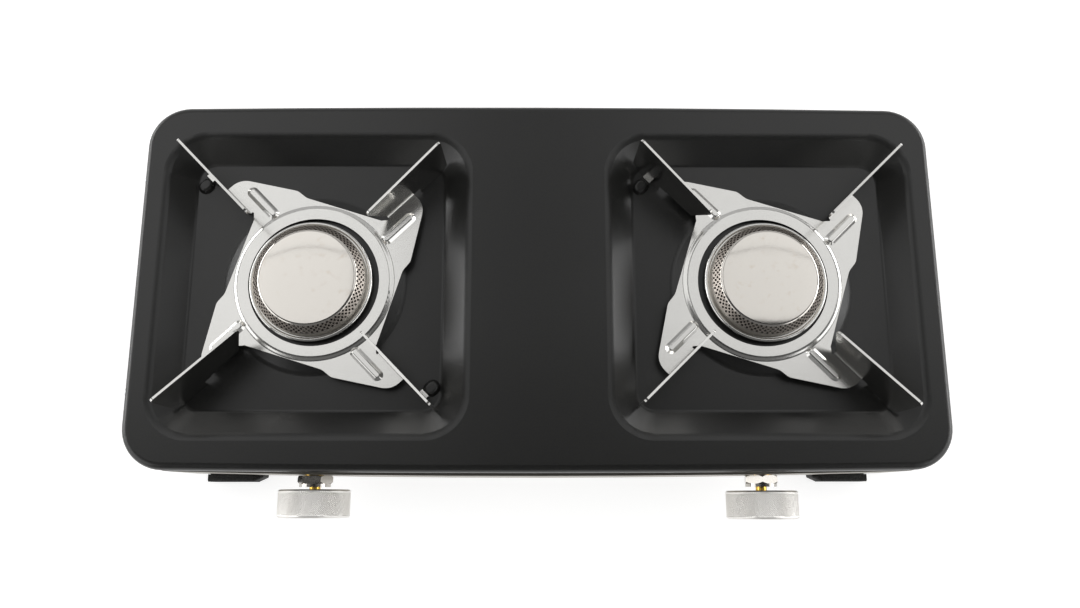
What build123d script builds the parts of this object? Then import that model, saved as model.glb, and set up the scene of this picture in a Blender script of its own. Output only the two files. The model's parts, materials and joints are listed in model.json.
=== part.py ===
from build123d import *

import math
import os

# Two-burner camping stove, in millimetres.
# X runs along the front, Y from the front to the back and Z up from the ground.
# The pieces are drawn about the middle of the top tray and exported about the middle of the whole stove.

# Case
TRAY_WIDTH = 440.0
TRAY_DEPTH = 202.0
TRAY_BOW = 1.75
CORNER_RADIUS = 23.0
RIM_HEIGHT = 66.0
TRAY_SHEET = 1.0
RIM_ROLL = 4.0
SKIRT_DEPTH = 14.0
BASE_SHEET = 0.8
BASE_BOW = 3.2
BASE_ROLL = 5.0
GROUND_GAP = 6.0
LIP_OVERLAP = 9.0
SLIP_FIT = 0.3
FIXED_FIT = 0.05

# Recesses of the tray
SIDE_LAND = 13.0
CENTRE_LAND = 78.0
FRONT_LAND = 17.0
RECESS_DEPTH = 10.5
RECESS_SLOPE_RUN = 14.0
LIP_CORNER = 22.0
FLOOR_CORNER = 10.0
LIP_ROLL = 7.0
FLOOR_ROLL = 3.0
BOSS_RISE = 5.0
BOSS_FLAT = 7.0
BOSS_RUN = 10.4
BOSS_BASE_ROLL = 6.0
BOSS_TOP_ROLL = 4.0
DIMPLE_WIDTH = 9.6
DIMPLE_LENGTH = 11.0
DIMPLE_RISE = 3.0
DIMPLE_SLOPE = 1.6

# Burner heads
HEAD_OUT = 1.2
CUP_RADIUS = 31.5
CUP_SHEET = 0.8
CUP_ROLL = 1.1
CUP_DEPTH = 39.0
CUP_CORNER = 6.0
RIM_DROP = 0.3
CAP_RISE = 8.8
CAP_DOME = 0.6
CAP_BAND_RUN = 4.5
CAP_BAND_DROP = 6.5
CAP_FLANGE = 0.95
CAP_SHOULDER = 1.8
CAP_FILLET = 1.0
CAP_SKIRT = 6.0
CAP_SHEET = 0.8
TUBE_RADIUS = 8.5
TUBE_SHEET = 0.8
TUBE_LENGTH = 46.0
TUBE_REACH = 4.5
BELL_RADIUS = 11.0
THROAT_RADIUS = 6.5

# Pan supports
SUPPORT_SHEET = 1.2
SUPPORT_TURN = 44.3
LEAF_LIFT = 7.0
HOLE_GAP = 2.0
RING_WIDTH = 6.0
RING_RISE = 0.9
RING_RUN = 1.9
RING_ROLL = 2.5
RING_FILLET = 1.8
BLADE_RISE = 25.4
BLADE_TIP_RISE = 32.5
BLADE_LEAN_IN = 10.3
FOOT_LENGTH = 20.5
FOOT_CHAMFER = 5.5
NOTCH_LENGTH = 5.0
BEAD_WIDTH = 5.6
BEAD_OFFSET = 9.7
BEAD_SETBACK = 8.4
BEAD_RISE = 1.6
BEAD_SLOPE = 2.0
BEAD_ROLL = 1.2
BEND_RADIUS = 0.8
LEAF_TIP_WIDTH = 9.6
TIP_RADIUS = 11.0
TAB_LENGTH = 5.0
TAB_REACH = 2.4
SUPPORT_SEAT_GAP = 0.1

# Valves and knobs
KNOB_DROP = 30.0
KNOB_RADIUS = 19.5
KNOB_LENGTH = 15.1
KNOB_CHAMFER = 1.4
KNOB_GAP = 1.3
KNOB_BORE_DEPTH = 11.5
SPINDLE_RADIUS = 3.0
COLLAR_RADIUS = 3.95
COLLAR_LENGTH = 5.0
SEAL_SECTION = 0.8
RUNNING_FIT = 0.05
VALVE_TRAVEL = 1.5
RIGHT_VALVE_OPEN = 0.8
NEEDLE_LENGTH = 4.0
NEEDLE_TIP_RADIUS = 0.5
STEM_RADIUS = 2.5
NECK_RADIUS = 6.0
NECK_REACH = 3.9
VALVE_WIDTH = 16.0
VALVE_LENGTH = 18.0
GLAND_FLATS = 17.0
GLAND_HEX = 4.5
GLAND_FLANGE = 1.7
GLAND_FLANGE_RADIUS = 8.6
SET_SCREW_RADIUS = 2.0
JET_FLATS = 8.0
JET_LENGTH = 8.0
JET_BORE = 0.6

# Gas line
PIPE_RADIUS = 3.0
PIPE_BORE = 2.0
PIPE_DROP = 8.0
PIPE_SOCKET = 5.0
PIPE_NUT_FLATS = 11.0
PIPE_NUT_LENGTH = 8.0
TEE_SIZE = 16.0
INLET_RADIUS = 6.58
INLET_BODY_RADIUS = 8.0
INLET_FLATS = 22.0
INLET_NUT = 2.8
INLET_FREE_THREAD = 7.5

# Feet and fasteners
FOOT_WIDTH = 26.0
FOOT_RIBBED_END = 5.0
FOOT_DEPTH = 22.0
FOOT_PROUD = 3.6
FOOT_LIP_HEIGHT = 14.0
FOOT_INSET = 30.0
FOOT_TAPER = 2.4
FOOT_ROUNDING = 1.4
FOOT_RIBS = 4
SCREW_RADIUS = 2.0
SCREW_HEAD_RADIUS = 3.6
SCREW_HEAD = 2.2
NUT_FLATS = 7.0
NUT_HEIGHT = 3.0
CASE_SCREW_LENGTH = 8.0
CASE_SCREW_SPREAD = 120.0
BRACKET_WIDTH = 22.0
BRACKET_SPAN = 40.0
BRACKET_FOOT = 12.0
BRACKET_SHEET = 1.2
RIVET_HEAD_RADIUS = 3.8
RIVET_HEAD = 1.3
VENT_LENGTH = 40.0
VENT_WIDTH = 5.0
VENT_PITCH = 11.0
VENT_COUNT = 3

# Levels and places worked out from the sizes above
recess_x = (TRAY_WIDTH - 2 * SIDE_LAND - CENTRE_LAND) / 2
recess_y = TRAY_DEPTH - 2 * FRONT_LAND
recess_floor_x = recess_x - 2 * RECESS_SLOPE_RUN
recess_floor_y = recess_y - 2 * RECESS_SLOPE_RUN
burner_x = (recess_x + CENTRE_LAND) / 2
head_x = burner_x + HEAD_OUT
recess_z = RIM_HEIGHT - RECESS_DEPTH
skirt_z = RIM_HEIGHT - SKIRT_DEPTH
lip_top_z = skirt_z + LIP_OVERLAP
lip_inset = TRAY_SHEET + SLIP_FIT
floor_top_z = GROUND_GAP + BASE_SHEET
knob_z = RIM_HEIGHT - KNOB_DROP
pipe_z = knob_z - PIPE_DROP
wall_bow_here = BASE_BOW * (1 - (2 * burner_x / TRAY_WIDTH) ** 2)
wall_y = -(TRAY_DEPTH / 2 + wall_bow_here)
wall_inner_y = wall_y + BASE_SHEET
rear_wall_y = TRAY_DEPTH / 2 + BASE_BOW

# Burner levels
cup_roll_z = RIM_HEIGHT - RIM_DROP - CUP_ROLL
cup_rim_radius = CUP_RADIUS + 2 * CUP_ROLL
cup_bottom_z = cup_roll_z - CUP_DEPTH
cap_top_z = RIM_HEIGHT - RIM_DROP + CAP_RISE
cap_radius = CUP_RADIUS - CUP_SHEET - FIXED_FIT
cap_band_radius = cap_radius - CAP_FLANGE
cap_top_radius = cap_band_radius - CAP_BAND_RUN
boss_hole_radius = CUP_RADIUS + 1.0
boss_top_radius = boss_hole_radius + BOSS_FLAT
boss_base_radius = boss_top_radius + BOSS_RUN

# Pan support levels and radii
leaf_z = recess_z + LEAF_LIFT
ring_z = leaf_z + RING_RISE
bead_z = leaf_z + BEAD_RISE
blade_z = leaf_z + BLADE_RISE
blade_tip_z = leaf_z + BLADE_TIP_RISE
hole_radius = cup_rim_radius + HOLE_GAP
ring_radius = hole_radius + RING_WIDTH
leaf_edge_radius = ring_radius + 2.4
foot_outer = min(recess_floor_x, recess_floor_y) / 2 * math.sqrt(2) - 0.1
blade_outer = foot_outer - 0.6
foot_inner = foot_outer - FOOT_LENGTH
leaf_tip = foot_inner - NOTCH_LENGTH
dimple_reach = foot_inner + 8.2
dimple_offset = DIMPLE_LENGTH / 2 + SUPPORT_SHEET / 2 + SLIP_FIT
dimple_arms = (1, 3)

# Valve places along Y, from the front wall inwards and outwards
neck_end_y = wall_y - NECK_REACH + BASE_SHEET
valve_front_y = wall_inner_y + SLIP_FIT
valve_back_y = valve_front_y + VALVE_LENGTH
gland_back_y = wall_y - SLIP_FIT
gland_hex_y = gland_back_y - GLAND_HEX
gland_front_y = gland_hex_y - GLAND_FLANGE
gland_seat_y = neck_end_y - 0.2
collar_front_y = gland_seat_y + VALVE_TRAVEL + 0.5
collar_back_y = collar_front_y + COLLAR_LENGTH
needle_root_y = collar_back_y + 6.0
needle_tip_y = needle_root_y + NEEDLE_LENGTH
knob_back_y = gland_front_y - KNOB_GAP
knob_front_y = knob_back_y - KNOB_LENGTH
pipe_y = (valve_front_y + valve_back_y) / 2
tube_end_y = -CUP_RADIUS + TUBE_REACH
tube_mouth_y = tube_end_y - TUBE_LENGTH
inlet_nut_y = rear_wall_y + SLIP_FIT
inlet_end_y = inlet_nut_y + INLET_NUT + INLET_FREE_THREAD
foot_front = TRAY_DEPTH / 2 + BASE_BOW + FOOT_PROUD - 1.5

# The stove is exported about the middle of its box, which runs from the further knob to the gas inlet
frame_shift_y = -(knob_front_y - RIGHT_VALVE_OPEN + inlet_end_y) / 2


def bowed_outline(width, depth, bow, corner):
    """A rounded rectangle whose two long sides bulge by the bow."""
    half_w, half_d = width / 2, depth / 2
    sides = [
        ThreePointArc((-half_w, -half_d), (0, -half_d - bow), (half_w, -half_d)),
        Line((half_w, -half_d), (half_w, half_d)),
        ThreePointArc((half_w, half_d), (0, half_d + bow), (-half_w, half_d)),
        Line((-half_w, half_d), (-half_w, -half_d)),
    ]
    face = make_face(sides)
    return fillet(face.vertices(), corner)


def slab(face, low, high):
    """A flat outline raised from one height to another."""
    return extrude(Pos(0, 0, low) * face, amount=high - low)


def rod_y(radius, x, z, near, far):
    """A round bar along Y."""
    return Pos(x, (near + far) / 2, z) * Rot(90, 0, 0) * Cylinder(radius, abs(far - near))


def rod_x(radius, y, z, near, far):
    """A round bar along X."""
    return Pos((near + far) / 2, y, z) * Rot(0, 90, 0) * Cylinder(radius, abs(far - near))


def rod_z(radius, x, y, low, high):
    """A round bar along Z."""
    return Pos(x, y, (low + high) / 2) * Cylinder(radius, high - low)


def hexagon(flats):
    """A hexagon given across its flats."""
    return RegularPolygon(flats / 2, 6, major_radius=False)


def hex_y(flats, x, z, near, far):
    """A hexagonal bar along Y."""
    return Pos(x, max(near, far), z) * Rot(90, 0, 0) * extrude(hexagon(flats), amount=abs(far - near))


def hex_x(flats, y, z, near, far):
    """A hexagonal bar along X."""
    return Pos(min(near, far), y, z) * Rot(0, 90, 0) * extrude(hexagon(flats), amount=abs(far - near))


def group(pieces):
    """Separate pieces of one kind, kept together as one node."""
    return Part() + pieces


def lathe_y(points, x, z):
    """A turned piece about an axis along Y, from (radius, y) points."""
    profile = make_face(Polyline(*[(r, y) for r, y in points], close=True))
    return Pos(x, 0, z) * revolve(profile, Axis.Y)


def lathe_z(points, x):
    """A turned piece about an upright axis, from (radius, z) points."""
    profile = Plane.XZ * make_face(Polyline(*points, close=True))
    return Pos(x, 0, 0) * revolve(profile, Axis.Z)


def recess_solid(x, lip_extra, floor_extra, low):
    """The sloped hollow of one burner recess, widened at its lip and at its floor."""
    lip = RectangleRounded(recess_x + 2 * lip_extra, recess_y + 2 * lip_extra, LIP_CORNER + lip_extra)
    floor = RectangleRounded(recess_floor_x + 2 * floor_extra, recess_floor_y + 2 * floor_extra,
                             FLOOR_CORNER + floor_extra)
    return loft([Pos(x, 0, RIM_HEIGHT) * lip, Pos(x, 0, low) * floor], ruled=True)


def boss_solid(x, low, extra):
    """The raised cone round a burner opening, grown by an extra radius."""
    base = Pos(x, 0, low) * Circle(boss_base_radius + extra)
    top = Pos(x, 0, low + BOSS_RISE) * Circle(boss_top_radius + extra)
    return loft([base, top], ruled=True)


def round_circles(body, x, radius, roll):
    """Rounds the circular edges of one radius round a burner."""
    circles = body.edges().filter_by(GeomType.CIRCLE)
    chosen = [edge for edge in circles if abs(edge.arc_center.X - x) < 1 and abs(edge.radius - radius) < 0.1]
    return fillet(chosen, roll)


def arm_point(x, arm, reach, aside):
    """A point beside one arm of a pan support, positive aside being clockwise from above."""
    angle = math.radians(SUPPORT_TURN + 90 * arm)
    return (x + reach * math.cos(angle) + aside * math.sin(angle),
            reach * math.sin(angle) - aside * math.cos(angle))


def dimple_solids(x, shrink):
    """The two oblong humps that locate a pan support, each square to its blade."""
    low = recess_z - TRAY_SHEET
    high = recess_z + DIMPLE_RISE - shrink
    run = DIMPLE_SLOPE * (high - low) / DIMPLE_RISE
    humps = []
    for arm in dimple_arms:
        px, py = arm_point(x, arm, dimple_reach, -dimple_offset)
        place = Pos(px, py, 0) * Rot(0, 0, SUPPORT_TURN + 90 * arm + 90)
        foot = SlotOverall(DIMPLE_LENGTH - 2 * shrink, DIMPLE_WIDTH - 2 * shrink)
        crown = SlotOverall(DIMPLE_LENGTH - 2 * shrink - 2 * run, DIMPLE_WIDTH - 2 * shrink - 2 * run)
        hump = loft([Pos(0, 0, low) * foot, Pos(0, 0, high) * crown], ruled=True)
        if shrink == 0:
            hump = fillet(hump.faces().sort_by(Axis.Z)[-1].edges(), DIMPLE_SLOPE)
        humps.append(place * hump)
    return humps


def top_tray():
    """The pressed top with its two recesses, burner bosses and rolled rim."""
    body = slab(bowed_outline(TRAY_WIDTH, TRAY_DEPTH, TRAY_BOW, CORNER_RADIUS), skirt_z, RIM_HEIGHT)
    body = fillet(body.faces().sort_by(Axis.Z)[-1].edges(), RIM_ROLL)
    for x in (-burner_x, burner_x):
        body -= recess_solid(x, 0, 0, recess_z)
    lips = [wire.edges() for wire in body.faces().sort_by(Axis.Z)[-1].inner_wires()]
    body = fillet([edge for wire in lips for edge in wire], LIP_ROLL)
    floors = body.faces().filter_by(Axis.Z).filter_by_position(Axis.Z, recess_z - 0.1, recess_z + 0.1)
    body = fillet(floors.edges(), FLOOR_ROLL)

    inset = 2 * TRAY_SHEET
    inside = bowed_outline(TRAY_WIDTH - inset, TRAY_DEPTH - inset, TRAY_BOW, CORNER_RADIUS - TRAY_SHEET)
    void = slab(inside, skirt_z, RIM_HEIGHT - TRAY_SHEET)
    void = fillet(void.faces().sort_by(Axis.Z)[-1].edges(), RIM_ROLL - TRAY_SHEET)
    slope = math.atan2(RECESS_DEPTH, RECESS_SLOPE_RUN)
    lip_extra = TRAY_SHEET / math.sin(slope)
    floor_extra = lip_extra - TRAY_SHEET / math.tan(slope)
    for x in (-burner_x, burner_x):
        head = math.copysign(head_x, x)
        body += boss_solid(head, recess_z, 0)
        body = round_circles(body, head, boss_base_radius, BOSS_BASE_ROLL)
        body = round_circles(body, head, boss_top_radius, BOSS_TOP_ROLL)
        for hump in dimple_solids(x, 0):
            body += hump
        void -= recess_solid(x, lip_extra, floor_extra, recess_z - TRAY_SHEET)
        void += boss_solid(head, recess_z - TRAY_SHEET, 0)
        for hump in dimple_solids(x, TRAY_SHEET):
            void += hump
        void += rod_z(boss_hole_radius, head, 0, recess_z - TRAY_SHEET, RIM_HEIGHT)
    for x, y in case_screw_places():
        void += rod_x(SCREW_RADIUS + SLIP_FIT, y, case_screw_z(), x - lip_inset - 1, x + lip_inset + 1)
    return body - void


def case_screw_z():
    """The height of the screws that hold the tray to the base."""
    return skirt_z + LIP_OVERLAP / 2


def case_screw_places():
    """Where those screws go, on the two short sides."""
    half = CASE_SCREW_SPREAD / 2
    return [(side * TRAY_WIDTH / 2, y) for side in (-1, 1) for y in (-half, half)]


def base_pan():
    """The lower pan, whose top edge is set in so that the tray drops over it."""
    sheet = 2 * BASE_SHEET
    outer = slab(bowed_outline(TRAY_WIDTH, TRAY_DEPTH, BASE_BOW, CORNER_RADIUS), GROUND_GAP, skirt_z)
    outer = fillet(outer.faces().sort_by(Axis.Z)[0].edges(), BASE_ROLL)
    inside = bowed_outline(TRAY_WIDTH - sheet, TRAY_DEPTH - sheet, BASE_BOW, CORNER_RADIUS - BASE_SHEET)
    void = slab(inside, floor_top_z, skirt_z - BASE_SHEET)
    void = fillet(void.faces().sort_by(Axis.Z)[0].edges(), BASE_ROLL - BASE_SHEET)
    set_in = 2 * lip_inset
    corner = CORNER_RADIUS - lip_inset
    outer += slab(bowed_outline(TRAY_WIDTH - set_in, TRAY_DEPTH - set_in, TRAY_BOW, corner),
                  skirt_z - BASE_SHEET, lip_top_z)
    set_in += sheet
    void += slab(bowed_outline(TRAY_WIDTH - set_in, TRAY_DEPTH - set_in, TRAY_BOW, corner - BASE_SHEET),
                 skirt_z - BASE_SHEET, lip_top_z)
    for x in (-burner_x, burner_x):
        void += rod_y(NECK_RADIUS + SLIP_FIT, x, knob_z, wall_y - 2, wall_y + 4)
        for row in range(VENT_COUNT):
            for side in (-1, 1):
                y = side * (BRACKET_WIDTH / 2 + VENT_PITCH * (row + 0.7))
                slot = Pos(x, y, 0) * SlotOverall(VENT_LENGTH, VENT_WIDTH)
                void += slab(slot, GROUND_GAP, floor_top_z)
    void += rod_y(INLET_BODY_RADIUS + SLIP_FIT, 0, pipe_z, rear_wall_y - 4, rear_wall_y + 2)
    for x, y in foot_screw_places() + bracket_rivet_places():
        void += rod_z(SCREW_RADIUS + FIXED_FIT, x, y, GROUND_GAP, floor_top_z)
    for x, y in case_screw_places():
        void += rod_x(SCREW_RADIUS + FIXED_FIT, y, case_screw_z(), x - 6, x + 6)
    return outer - void


def foot_centre():
    """Where the plain block of the front right foot is centred."""
    return (TRAY_WIDTH / 2 - FOOT_INSET - FOOT_WIDTH / 2, -(foot_front - FOOT_DEPTH / 2))


def foot_screw_places():
    """The screw of each foot, set back from its lip."""
    x, y = foot_centre()
    return [(sx * x, sy * (y + FOOT_PROUD)) for sx in (-1, 1) for sy in (1, -1)]


def foot_section(front, height):
    """The side view of a foot, rounded along its front."""
    back = -foot_front + FOOT_DEPTH
    face = make_face(Polyline((front, 0), (back, 0), (back, height), (front, height), close=True))
    return Plane.YZ * fillet(face.vertices().sort_by(Axis.X)[0:2], FOOT_ROUNDING)


def foot(side, end):
    """A rubber foot that wraps the base's lower edge, with a ribbed tapered end towards the middle."""
    x, y = foot_centre()
    inner_x = x - FOOT_WIDTH / 2
    full = foot_section(-foot_front, FOOT_LIP_HEIGHT)
    slim = foot_section(-foot_front + FOOT_TAPER, FOOT_LIP_HEIGHT - FOOT_TAPER)
    block = Pos(inner_x, 0, 0) * extrude(full, amount=FOOT_WIDTH)
    block += loft([Pos(inner_x, 0, 0) * full, Pos(inner_x - FOOT_RIBBED_END, 0, 0) * slim], ruled=True)
    pan = bowed_outline(TRAY_WIDTH + 2 * SLIP_FIT, TRAY_DEPTH + 2 * SLIP_FIT, BASE_BOW, CORNER_RADIUS)
    seat = slab(pan, GROUND_GAP, RIM_HEIGHT)
    block -= fillet(seat.faces().sort_by(Axis.Z)[0].edges(), BASE_ROLL)
    rib_pitch = FOOT_RIBBED_END / FOOT_RIBS
    for rib in range(FOOT_RIBS):
        groove = Box(rib_pitch * 0.45, 2.4, FOOT_LIP_HEIGHT * 2)
        block -= Pos(inner_x - rib_pitch * (rib + 0.5), -foot_front, 0) * groove
    screw_x, screw_y = x, y + FOOT_PROUD
    block -= rod_z(SCREW_RADIUS + SLIP_FIT, screw_x, screw_y, 0, GROUND_GAP)
    block -= rod_z(SCREW_HEAD_RADIUS + SLIP_FIT, screw_x, screw_y, 0, GROUND_GAP / 2)
    if side < 0:
        block = mirror(block, Plane.YZ)
    if end > 0:
        block = mirror(block, Plane.XZ)
    return block


def foot_screws():
    """One screw through each foot, its head sunk in the rubber."""
    head_top = GROUND_GAP / 2
    screws = []
    for x, y in foot_screw_places():
        head = rod_z(SCREW_HEAD_RADIUS, x, y, head_top - SCREW_HEAD, head_top)
        screws.append(head + rod_z(SCREW_RADIUS, x, y, head_top, floor_top_z + NUT_HEIGHT + 1))
    return group(screws)


def foot_nuts():
    """The nuts of the foot screws, on the floor of the base."""
    nuts = []
    for x, y in foot_screw_places():
        nut = Pos(x, y, floor_top_z) * extrude(hexagon(NUT_FLATS), amount=NUT_HEIGHT)
        nuts.append(nut - rod_z(SCREW_RADIUS + FIXED_FIT, x, y, floor_top_z, floor_top_z + NUT_HEIGHT))
    return group(nuts)


def case_screws():
    """The pan-head screws through the tray's skirt into the base."""
    screws = []
    for x, y in case_screw_places():
        out = 1 if x > 0 else -1
        head = rod_x(SCREW_HEAD_RADIUS, y, case_screw_z(), x, x + out * SCREW_HEAD)
        head = fillet(head.faces().sort_by(Axis.X)[-1 if out > 0 else 0].edges(), SCREW_HEAD * 0.6)
        screws.append(head + rod_x(SCREW_RADIUS, y, case_screw_z(), x - out * CASE_SCREW_LENGTH, x))
    return group(screws)


def burner_cup(x, tube_x):
    """The deep-drawn burner bowl with its rolled rim and the hole for the mixing tube."""
    inner = CUP_RADIUS - CUP_SHEET
    shell = rod_z(CUP_RADIUS, x, 0, cup_bottom_z, cup_roll_z)
    shell = fillet(shell.faces().sort_by(Axis.Z)[0].edges(), CUP_CORNER)
    hollow = rod_z(inner, x, 0, cup_bottom_z + CUP_SHEET, cup_roll_z)
    hollow = fillet(hollow.faces().sort_by(Axis.Z)[0].edges(), CUP_CORNER - CUP_SHEET)
    roll = Pos(x, 0, cup_roll_z) * Torus(CUP_RADIUS + CUP_ROLL - CUP_SHEET / 4, CUP_ROLL)
    cup = shell + roll - hollow - rod_z(inner, x, 0, cup_bottom_z + CUP_CORNER, RIM_HEIGHT)
    cup -= rod_y(TUBE_RADIUS + FIXED_FIT, tube_x, knob_z, -CUP_RADIUS - 2, -CUP_RADIUS / 2)
    return cup - rod_z(SCREW_RADIUS + FIXED_FIT, x, 0, cup_bottom_z, cup_bottom_z + CUP_SHEET)


def burner_cap(x):
    """The domed cap with its sloping flame band, its flange and the skirt that sits in the bowl."""
    sheet = CAP_SHEET
    edge_z = cap_top_z - CAP_DOME
    band_z = edge_z - CAP_BAND_DROP
    flange_z = RIM_HEIGHT - RIM_DROP + sheet
    skirt_end = flange_z - CAP_SKIRT
    half_way = (cap_top_radius / 2, cap_top_z - CAP_DOME / 4)
    crown = ThreePointArc((0, cap_top_z), half_way, (cap_top_radius, edge_z))
    rest = Polyline(
        (cap_top_radius, edge_z), (cap_band_radius, band_z), (cap_radius, flange_z), (cap_radius, skirt_end),
        (cap_radius - sheet, skirt_end), (cap_radius - sheet, flange_z - sheet),
        (cap_band_radius - sheet, band_z - sheet / 2), (cap_top_radius - sheet * 0.8, edge_z - 1.8 * sheet),
        (0, cap_top_z - 1.5 * sheet), (0, cap_top_z))
    face = make_face([crown] + rest.edges())
    for spot, radius in (((cap_top_radius, edge_z), CAP_SHOULDER), ((cap_band_radius, band_z), CAP_FILLET),
                         ((cap_radius, flange_z), CAP_FILLET * 0.6)):
        face = fillet(face.vertices().sort_by_distance((spot[0], spot[1], 0))[0], radius)
    return Pos(x, 0, 0) * revolve(Plane.XZ * face, Axis.Z)


def mixing_tube(x):
    """The venturi tube that leads gas and air into the bowl."""
    sheet = TUBE_SHEET
    throat_y = tube_mouth_y + TUBE_LENGTH * 0.3
    spread_y = -CUP_RADIUS - 4
    points = [
        (BELL_RADIUS - sheet, tube_mouth_y), (BELL_RADIUS, tube_mouth_y),
        (THROAT_RADIUS + sheet, throat_y), (TUBE_RADIUS, spread_y), (TUBE_RADIUS, tube_end_y),
        (TUBE_RADIUS - sheet, tube_end_y), (TUBE_RADIUS - sheet, spread_y), (THROAT_RADIUS, throat_y),
    ]
    return lathe_y(points, x, knob_z)


def jet(x):
    """The brass jet on the back of the valve."""
    hex_end = valve_back_y + JET_LENGTH / 2
    piece = hex_y(JET_FLATS, x, knob_z, valve_back_y, hex_end)
    piece += rod_y(JET_FLATS * 0.36, x, knob_z, hex_end, valve_back_y + JET_LENGTH)
    return piece - rod_y(JET_BORE, x, knob_z, valve_back_y, valve_back_y + JET_LENGTH)


def valve_body(x):
    """The brass valve block behind the front wall, with its neck, needle seat and gas port."""
    inward = -1 if x > 0 else 1
    low, high = pipe_z - VALVE_WIDTH / 2 + 1, knob_z + VALVE_WIDTH / 2
    block = Pos(x, pipe_y, (low + high) / 2) * Box(VALVE_WIDTH, VALVE_LENGTH, high - low)
    block = chamfer(block.edges().filter_by(Axis.Y), 2.0)
    block += rod_y(NECK_RADIUS, x, knob_z, neck_end_y, valve_front_y)
    collar_bore = COLLAR_RADIUS + RUNNING_FIT
    stem_bore = STEM_RADIUS + 4 * RUNNING_FIT
    tip_bore = NEEDLE_TIP_RADIUS + 4 * RUNNING_FIT
    seat = [(0, neck_end_y), (collar_bore, neck_end_y), (collar_bore, collar_back_y + 1),
            (stem_bore, collar_back_y + 2), (stem_bore, needle_root_y),
            (tip_bore, needle_tip_y + RUNNING_FIT), (tip_bore, valve_back_y), (0, valve_back_y)]
    block -= lathe_y(seat, x, knob_z)
    block -= rod_z(PIPE_BORE, x, pipe_y, pipe_z, knob_z)
    side = x + inward * VALVE_WIDTH / 2
    block -= rod_x(PIPE_BORE, pipe_y, pipe_z, x, side)
    return block - rod_x(PIPE_RADIUS + FIXED_FIT, pipe_y, pipe_z, side - inward * PIPE_SOCKET, side)


def gland_nut(x, turn):
    """The hexagonal gland nut, with a round flange towards the knob."""
    nut = Pos(x, 0, knob_z) * Rot(0, turn, 0) * hex_y(GLAND_FLATS, 0, 0, gland_hex_y, gland_back_y)
    corner = GLAND_FLATS / 2 / math.cos(math.radians(30))
    ends = [(0, gland_back_y), (corner - 1, gland_back_y), (corner, gland_back_y - 1),
            (corner, gland_hex_y + 1), (corner - 1.2, gland_hex_y), (0, gland_hex_y)]
    nut = nut & lathe_y(ends, x, knob_z)
    nut += rod_y(GLAND_FLANGE_RADIUS, x, knob_z, gland_front_y, gland_hex_y)
    nut -= rod_y(NECK_RADIUS + FIXED_FIT, x, knob_z, gland_seat_y, gland_back_y)
    return nut - rod_y(SPINDLE_RADIUS + RUNNING_FIT, x, knob_z, gland_front_y, gland_seat_y)


def spindle(x, opened):
    """The brass spindle, from the knob through the gland to the needle."""
    groove = seal_middle(opened)
    core = COLLAR_RADIUS - 2 * SEAL_SECTION - FIXED_FIT
    half = SEAL_SECTION + FIXED_FIT
    end = knob_back_y - KNOB_BORE_DEPTH + FIXED_FIT - opened
    front, back = collar_front_y - opened, collar_back_y - opened
    root, tip = needle_root_y - opened, needle_tip_y - opened
    points = [
        (0, end), (SPINDLE_RADIUS, end), (SPINDLE_RADIUS, front), (COLLAR_RADIUS, front),
        (COLLAR_RADIUS, groove - half), (core, groove - half),
        (core, groove + half), (COLLAR_RADIUS, groove + half),
        (COLLAR_RADIUS, back), (STEM_RADIUS, back), (STEM_RADIUS, root),
        (NEEDLE_TIP_RADIUS, tip), (0, tip),
    ]
    return lathe_y(points, x, knob_z)


def seal_middle(opened):
    """Where the seal's groove lies along the spindle."""
    return (collar_front_y + collar_back_y) / 2 - opened


def spindle_seal(x, opened):
    """The rubber ring in the spindle's groove."""
    ring = Torus(COLLAR_RADIUS - SEAL_SECTION, SEAL_SECTION)
    return Pos(x, seal_middle(opened), knob_z) * Rot(90, 0, 0) * ring


def knob(x, opened):
    """The round aluminium knob on the end of the spindle."""
    back, front = knob_back_y - opened, knob_front_y - opened
    body = rod_y(KNOB_RADIUS, x, knob_z, front, back)
    body = chamfer(body.edges().filter_by(GeomType.CIRCLE), KNOB_CHAMFER)
    body -= rod_y(SPINDLE_RADIUS + FIXED_FIT, x, knob_z, back - KNOB_BORE_DEPTH, back)
    middle = (front + back) / 2 + 1
    return body - rod_z(SET_SCREW_RADIUS + FIXED_FIT, x, middle, knob_z - KNOB_RADIUS, knob_z)


def knob_screw(x, opened):
    """The grub screw that holds the knob on its spindle, reached from below."""
    middle = (knob_back_y + knob_front_y) / 2 - opened + 1
    top = knob_z - SPINDLE_RADIUS - FIXED_FIT
    screw = rod_z(SET_SCREW_RADIUS, x, middle, knob_z - KNOB_RADIUS + 6, top)
    socket = Pos(x, middle, knob_z - KNOB_RADIUS + 6) * extrude(hexagon(SET_SCREW_RADIUS), amount=2)
    return screw - socket


def gas_pipe(side):
    """The pipe from the tee to one valve."""
    start = TEE_SIZE / 2 - PIPE_SOCKET + FIXED_FIT
    end = burner_x - VALVE_WIDTH / 2 + PIPE_SOCKET - FIXED_FIT
    tube = rod_x(PIPE_RADIUS, pipe_y, pipe_z, side * start, side * end)
    return tube - rod_x(PIPE_BORE, pipe_y, pipe_z, side * start, side * end)


def manifold_tee():
    """The brass tee between the two valves."""
    half = TEE_SIZE / 2
    block = Pos(0, pipe_y, pipe_z) * Box(TEE_SIZE, TEE_SIZE, TEE_SIZE)
    block = chamfer(block.edges().filter_by(Axis.Z), 2.0)
    block -= rod_x(PIPE_BORE, pipe_y, pipe_z, -half, half)
    block -= rod_y(PIPE_BORE, 0, pipe_z, pipe_y, pipe_y + half)
    for side in (-1, 1):
        socket = side * (half - PIPE_SOCKET)
        block -= rod_x(PIPE_RADIUS + FIXED_FIT, pipe_y, pipe_z, socket, side * half)
    return block - rod_y(PIPE_RADIUS + FIXED_FIT, 0, pipe_z, pipe_y + half - PIPE_SOCKET, pipe_y + half)


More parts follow.
